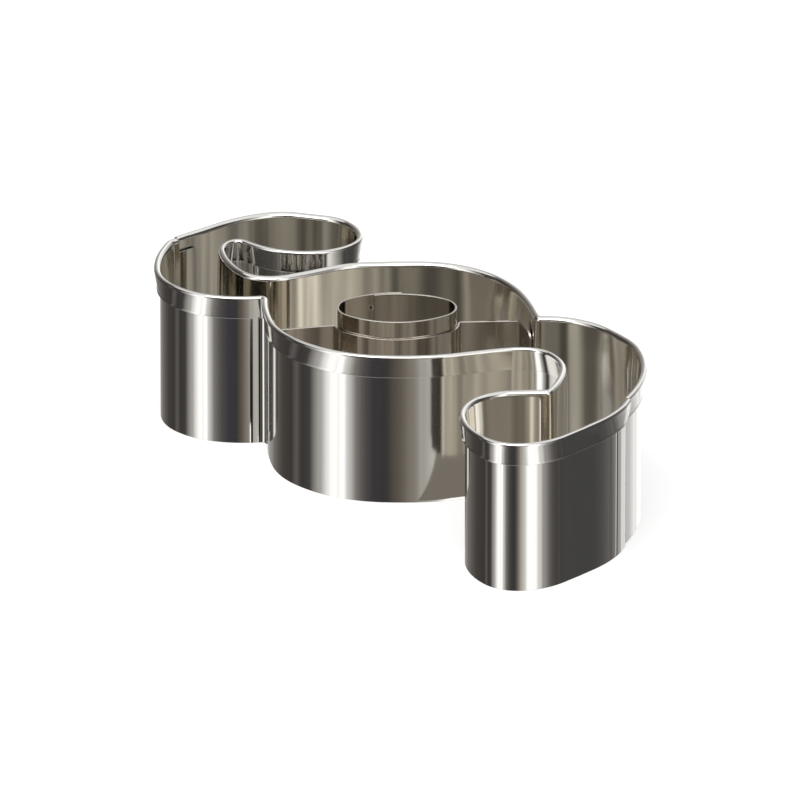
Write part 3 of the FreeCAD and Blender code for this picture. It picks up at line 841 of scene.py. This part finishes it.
# %% Paper inside the cutter
bm = bmesh.new()
corners = []
for line in (RIGHT_LINE, LEFT_LINE):
    count = int(route_length(line))
    for step in range(count):
        x, y, _ = aside(station_at(line, step * route_length(line) / count), -WALL_MIDDLE)
        corners.append(bm.verts.new(Vector((x, y, -PAPER_FALL)) * MM + TO_MIDDLE))
bm.faces.new(reversed(corners))
stage_object("paper_inside", bm, paper)

# %% [markdown]
# ## Cards inside the cutter
# What the inner faces show in the photograph is mostly the opposite wall, blurred and
# broken into upright streaks by a sheet that is never quite flat. A smooth wall shows it too
# clearly and in other places. So a card stands close inside each bend, parallel to the
# wall, and only reflections see it. Its shade runs across the picture, as a ramp along the
# camera's own left and right, so each streak can be set where the photograph has it.

# %% A card along a line
CARD_FOOT, CARD_TOP = 0.5, 20.5
STREAK = (1.5385, 83.33)  # mm across and upright, as wide as the finest streaks that show
STREAK_RANGE = (0.6, 1.5)  # how far the streaks dim and lift a card's shade


def only_for_reflections(thing):
    """Hides an object of the studio from all but glossy rays."""
    for setting in ("visible_camera", "visible_diffuse", "visible_shadow", "visible_transmission"):
        setattr(thing, setting, False)


def standing_card(name, line, inset, stops):
    """A card inset from a line. Each stop is a place across the picture in mm, and a shade."""
    material, tree = new_material(name)
    place = add(tree, "ShaderNodeTexCoord").outputs["Object"]
    turned = add(tree, "ShaderNodeMapping", Vector=place, Rotation=(0, 0, -AZIMUTH))
    across = add(tree, "ShaderNodeSeparateXYZ", Vector=turned.outputs["Vector"]).outputs["X"]
    reach = (stops[0][0], stops[-1][0])
    share = add(tree, "ShaderNodeMapRange", Value=across, From_Min=reach[0] * MM,
                From_Max=reach[1] * MM)
    ramp = add(tree, "ShaderNodeValToRGB", Fac=share.outputs["Result"])
    marks = ramp.color_ramp.elements
    marks[0].color, marks[1].color = linear(stops[0][1]), linear(stops[-1][1])
    for distance, shade in stops[1:-1]:
        marks.new((distance - reach[0]) / (reach[1] - reach[0])).color = linear(shade)
    fine = add(tree, "ShaderNodeMapping", Vector=place, Scale=upright_cells(*STREAK))
    streak = add(tree, "ShaderNodeTexNoise", Vector=fine.outputs["Vector"], Scale=1.0,
                 Detail=2.0).outputs["Fac"]
    streaks = add(tree, "ShaderNodeMapRange", Value=streak, From_Min=0.35, From_Max=0.65,
                  To_Min=STREAK_RANGE[0], To_Max=STREAK_RANGE[1]).outputs["Result"]
    glow = add(tree, "ShaderNodeEmission", Color=ramp.outputs["Color"], Strength=streaks)
    add(tree, "ShaderNodeOutputMaterial", Surface=glow.outputs["Emission"])
    bm = bmesh.new()
    card_line = parallel(line, -inset)
    verts, edges = section_row(bm, card_line[0], [(0, CARD_FOOT), (0, CARD_TOP)])
    sweep(bm, verts + edges, card_line)
    bmesh.ops.translate(bm, verts=bm.verts[:], vec=TO_MIDDLE)
    only_for_reflections(stage_object(name, bm, material))


# %% Cards inside the right wall
# The nodes of the rim line by which the cards are placed. Each starts or ends a few
# millimetres away from its node, where its streaks come into view.
HEAD_END, NECK, WAIST_ABOVE, LOBE = (13.5, 28.0), (-3.3, 21.1), (13.6, -9.5), (17.3, -19.9)

body_back = stretch(RIGHT_LINE, distance_to(RIGHT_LINE, NECK) + 1,
                    distance_to(RIGHT_LINE, WAIST_ABOVE) - 3)
standing_card("body_card", body_back, 4.5, [
    (-13.2, "#B9B4A8"), (-12, "#D2CDC1"), (-9.5, "#CCC7BB"), (-7.3, "#BEB9AD"), (-5.9, "#A8A397"),
    (-4, "#7C786F"), (0.9, "#6E6A61"), (2, "#625E56"), (2.8, "#6E6A61"), (3.25, "#524E47"),
    (3.5, "#6C675E"), (3.65, "#A8A398"), (3.75, "#5A554D"), (4, "#6A655C")])
lobe_back = stretch(RIGHT_LINE, distance_to(RIGHT_LINE, LOBE) - 10,
                    route_length(RIGHT_LINE) - 3)
standing_card("lobe_card", lobe_back, 4.0, [
    (17.5, "#96918A"), (18.3, "#96918A"), (18.5, "#5A564E"), (18.75, "#625E56"), (18.9, "#DAD5CA"),
    (19.25, "#E2DDD2"), (19.35, "#B8B3A8"), (19.5, "#6A655C"), (20.5, "#55514A"), (20.9, "#B4AEA4"),
    (21.6, "#827D74")])
head_back = stretch(RIGHT_LINE, 3, distance_to(RIGHT_LINE, HEAD_END) - 2)
standing_card("head_card", head_back, 4.0, [
    (-26, "#908C84"), (-19.5, "#908C84"), (-18.8, "#6A665E"), (-17.9, "#625E56"),
    (-17.6, "#8D8980"), (-17.4, "#7A766D"), (-16.2, "#55514A"), (-14.6, "#736F66"),
    (-13.5, "#94908A")])

# %% Cards inside the lower hook and in front of the ring
HOOK_TOP, HOOK_MOUTH = (-9.5, -23.6), (-2.0, -27.6)

pocket_back = stretch(LEFT_LINE, distance_to(LEFT_LINE, HOOK_TOP) - 6,
                      distance_to(LEFT_LINE, HOOK_MOUTH))
standing_card("pocket_card", pocket_back, 3.5, [
    (13.2, "#7D786E"), (15.1, "#7A756C"), (15.6, "#8A857A"), (15.95, "#E0DACC"), (16.4, "#98938A"),
    (16.9, "#8C877C")])
pocket_end = [(-4.4, -30.1, 45), (-2.6, -28.3, 45)]
standing_card("pocket_end_card", pocket_end, 0, [(16, "#FCFAF4"), (18, "#FCFAF4")])
ring_inside = route([on_ring(place) for place in LOWER_END + UPPER_END + LOWER_END[:1]])
standing_card("ring_card", ring_inside, 2.6, [
    (-9, "#26231F"), (-6.8, "#34302B"), (-6, "#7D776C"), (0.3, "#69645B"), (1.6, "#746E66"),
    (2.9, "#4E4841"), (4.3, "#3B3630")])
FRONT_DISTANCE, FRONT_HALF = 9, 12  # from the middle of the ring, and half the card's length
front_middle = aside(RING, -FRONT_DISTANCE)
front_line = [ahead(front_middle, along) for along in (-FRONT_HALF, FRONT_HALF)]
standing_card("front_card", front_line, 0, [
    (-14.2, "#A8A196"), (-11.5, "#78726A"), (-9.8, "#5A544C"), (-8.6, "#8E887D"),
    (0, "#8A847A"), (1.6, "#928C84"), (2.9, "#5A544C"), (7, "#6C665E"), (7.8, "#928C82"),
    (10.2, "#58534C"), (11.8, "#928C82")])

# %% [markdown]
# ## Cards outside, in the gap below the body
# Between the lower hook and the body the outer faces look at each other across a narrow gap.
# The floor is in their shadow there, so a grey shade lies on it for reflections, and one
# more card stands 1.2 mm off the hook, with a dark end and a light one.

# %% Cards in the gap
GAP_SHADE = "#837D75"
GAP_CORNERS = [(-11.2, -23.4), (-9.3, -23.2), (-1.4, -27.6), (6.0, -19.8), (3.6, -15.9),
               (-3.4, -12.0), (-7.3, -9.1)]

hook_side = stretch(LEFT_LINE, distance_to(LEFT_LINE, HOOK_TOP) - 2.5,
                    distance_to(LEFT_LINE, HOOK_MOUTH))
standing_card("hook_card", hook_side, -1.2, [
    (5.5, "#3C3832"), (8.1, "#3C3832"), (8.4, "#C8C0B0"), (9, "#87817A"), (9.6, "#AAA494"),
    (18, "#B0A898")])
shade, tree = new_material("floor_shade")
glow = add(tree, "ShaderNodeEmission", Color=linear(GAP_SHADE), Strength=1.0)
add(tree, "ShaderNodeOutputMaterial", Surface=glow.outputs["Emission"])
bm = bmesh.new()
bm.faces.new([bm.verts.new(Vector((x, y, -PAPER_FALL)) * MM) for x, y in GAP_CORNERS])
only_for_reflections(stage_object("floor_shade", bm, shade))

# %% [markdown]
# ## Panels round the cutter
# The outer faces mirror what stands round the table. Each place on a bend looks another way,
# so a shade that changes with the direction turns into upright bands along the wall. White
# panels give the bright bands, and the dark between them gives the steel its depth. One
# round screen carries them all, with its shade worked out from the direction. Noise along
# it stands for folds, because a real screen is never evenly lit.

# %% The ring of panels
# Azimuth in degrees from +X, and the shade there. Between two of them it runs smoothly.
PANELS = [
    (318, "#3E3E3E"), (342, "#5C5A58"), (352, "#8A8886"),
    (3, "#B4B4B4"), (12, "#D2D2D2"), (32, "#FAFAFA"), (50, "#AAAAAA"),
    (80, "#6E6A66"), (98, "#55524F"), (112, "#3E3B39"), (130, "#383533"), (136, "#565352"),
    (142, "#383636"), (152, "#373534"), (158, "#7C7A78"), (165, "#A2A1A0"), (175, "#FCFCFC"),
    (187, "#FCFCFC"), (192, "#A9A8A6"), (199, "#6A6864"), (206, "#474444"),
    (213, "#353438"), (221, "#333134"), (227, "#565048"), (232, "#716C66"), (238, "#A8A6A0"),
    (243, "#A0A09A"), (251, "#FCFCFC"), (262, "#FCFCFC"), (274, "#989694"), (287, "#52504E"),
    (298, "#413F3D"),
]
CUT = 310  # degrees, a dark place, where the ramp of shades begins and ends
SCREEN_RADIUS, SCREEN_HEIGHT = 3.0, 7.0  # in metres
SCREEN_SIDES = 96
FOLDS = 14.0  # folds in each radian of the screen, so they are 0.2 m wide
FOLD_RANGE = (1.15, 1.75)  # how bright the screen glows in and between its folds

panels, tree = new_material("studio_panels")
place = add(tree, "ShaderNodeTexCoord").outputs["Object"]
axes = add(tree, "ShaderNodeSeparateXYZ", Vector=place).outputs
around = add(tree, "ShaderNodeMath", {"operation": "ARCTAN2"}, _0=axes["Y"], _1=axes["X"])
share = add(tree, "ShaderNodeMapRange", Value=around.outputs["Value"], From_Min=-math.pi,
            From_Max=math.pi, To_Min=0.0, To_Max=1.0)
ramp = add(tree, "ShaderNodeValToRGB", Fac=share.outputs["Result"])
stops = ramp.color_ramp.elements
for stop, (azimuth, shade) in zip(stops, (PANELS[0], PANELS[-1])):
    stop.position, stop.color = (azimuth - CUT) % 360 / 360, linear(shade)
for azimuth, shade in PANELS[1:-1]:
    stops.new((azimuth - CUT) % 360 / 360).color = linear(shade)
fold = add(tree, "ShaderNodeTexNoise", {"noise_dimensions": "1D"}, W=around.outputs["Value"],
           Scale=FOLDS, Detail=3.0).outputs["Fac"]
strength = add(tree, "ShaderNodeMapRange", Value=fold, From_Min=0.3, From_Max=0.7,
               To_Min=FOLD_RANGE[0], To_Max=FOLD_RANGE[1]).outputs["Result"]
glow = add(tree, "ShaderNodeEmission", Color=ramp.outputs["Color"], Strength=strength)
add(tree, "ShaderNodeOutputMaterial", Surface=glow.outputs["Emission"])
bm = bmesh.new()
bmesh.ops.create_cone(bm, segments=SCREEN_SIDES, radius1=SCREEN_RADIUS, radius2=SCREEN_RADIUS,
                      depth=SCREEN_HEIGHT)
ring_of_panels = stage_object("ring_of_panels", bm, panels)
ring_of_panels.rotation_euler.z = math.radians(CUT - 180)  # the arctangent jumps at 180
only_for_reflections(ring_of_panels)

# %% [markdown]
# ## The room and its soft light
# The background of the photograph is plain white. The camera and the reflections see the
# room at full brightness, but it lights the paper a little less, so that the paper keeps a
# trace of shadow. One large soft light hangs above, a little to the camera's side.

# %% World and soft light
ROOM_SEEN, ROOM_LIGHT = 1.0, 0.8
LIGHT_SIZE, LIGHT_POWER, LIGHT_PLACE = 0.8, 6, (-0.5, -0.3, 1.0)  # in metres and watts

world = bpy.data.worlds.new("white_room")
world.use_nodes = True
tree = world.node_tree
tree.nodes.clear()
rays = add(tree, "ShaderNodeLightPath").outputs
seen = add(tree, "ShaderNodeMath", {"operation": "MAXIMUM"}, _0=rays["Is Camera Ray"],
           _1=rays["Is Glossy Ray"]).outputs["Value"]
seen = add(tree, "ShaderNodeMath", {"operation": "MAXIMUM"}, _0=seen,
           _1=rays["Is Transmission Ray"]).outputs["Value"]
level = add(tree, "ShaderNodeMapRange", Value=seen, To_Min=ROOM_LIGHT, To_Max=ROOM_SEEN)
room = add(tree, "ShaderNodeBackground", Color=(1, 1, 1, 1), Strength=level.outputs["Result"])
add(tree, "ShaderNodeOutputWorld", Surface=room.outputs["Background"])
bpy.context.scene.world = world

softbox = bpy.data.lights.new("softbox", "AREA")
softbox.size = LIGHT_SIZE
softbox.energy = LIGHT_POWER
lamp = bpy.data.objects.new("softbox", softbox)
bpy.context.scene.collection.objects.link(lamp)
lamp.location = LIGHT_PLACE
lamp.rotation_euler = Vector(LIGHT_PLACE).to_track_quat("Z", "Y").to_euler()
print("softbox:", LIGHT_SIZE, "m wide,", LIGHT_POWER, "W")

bpy.context.scene.view_settings.view_transform = "Standard"
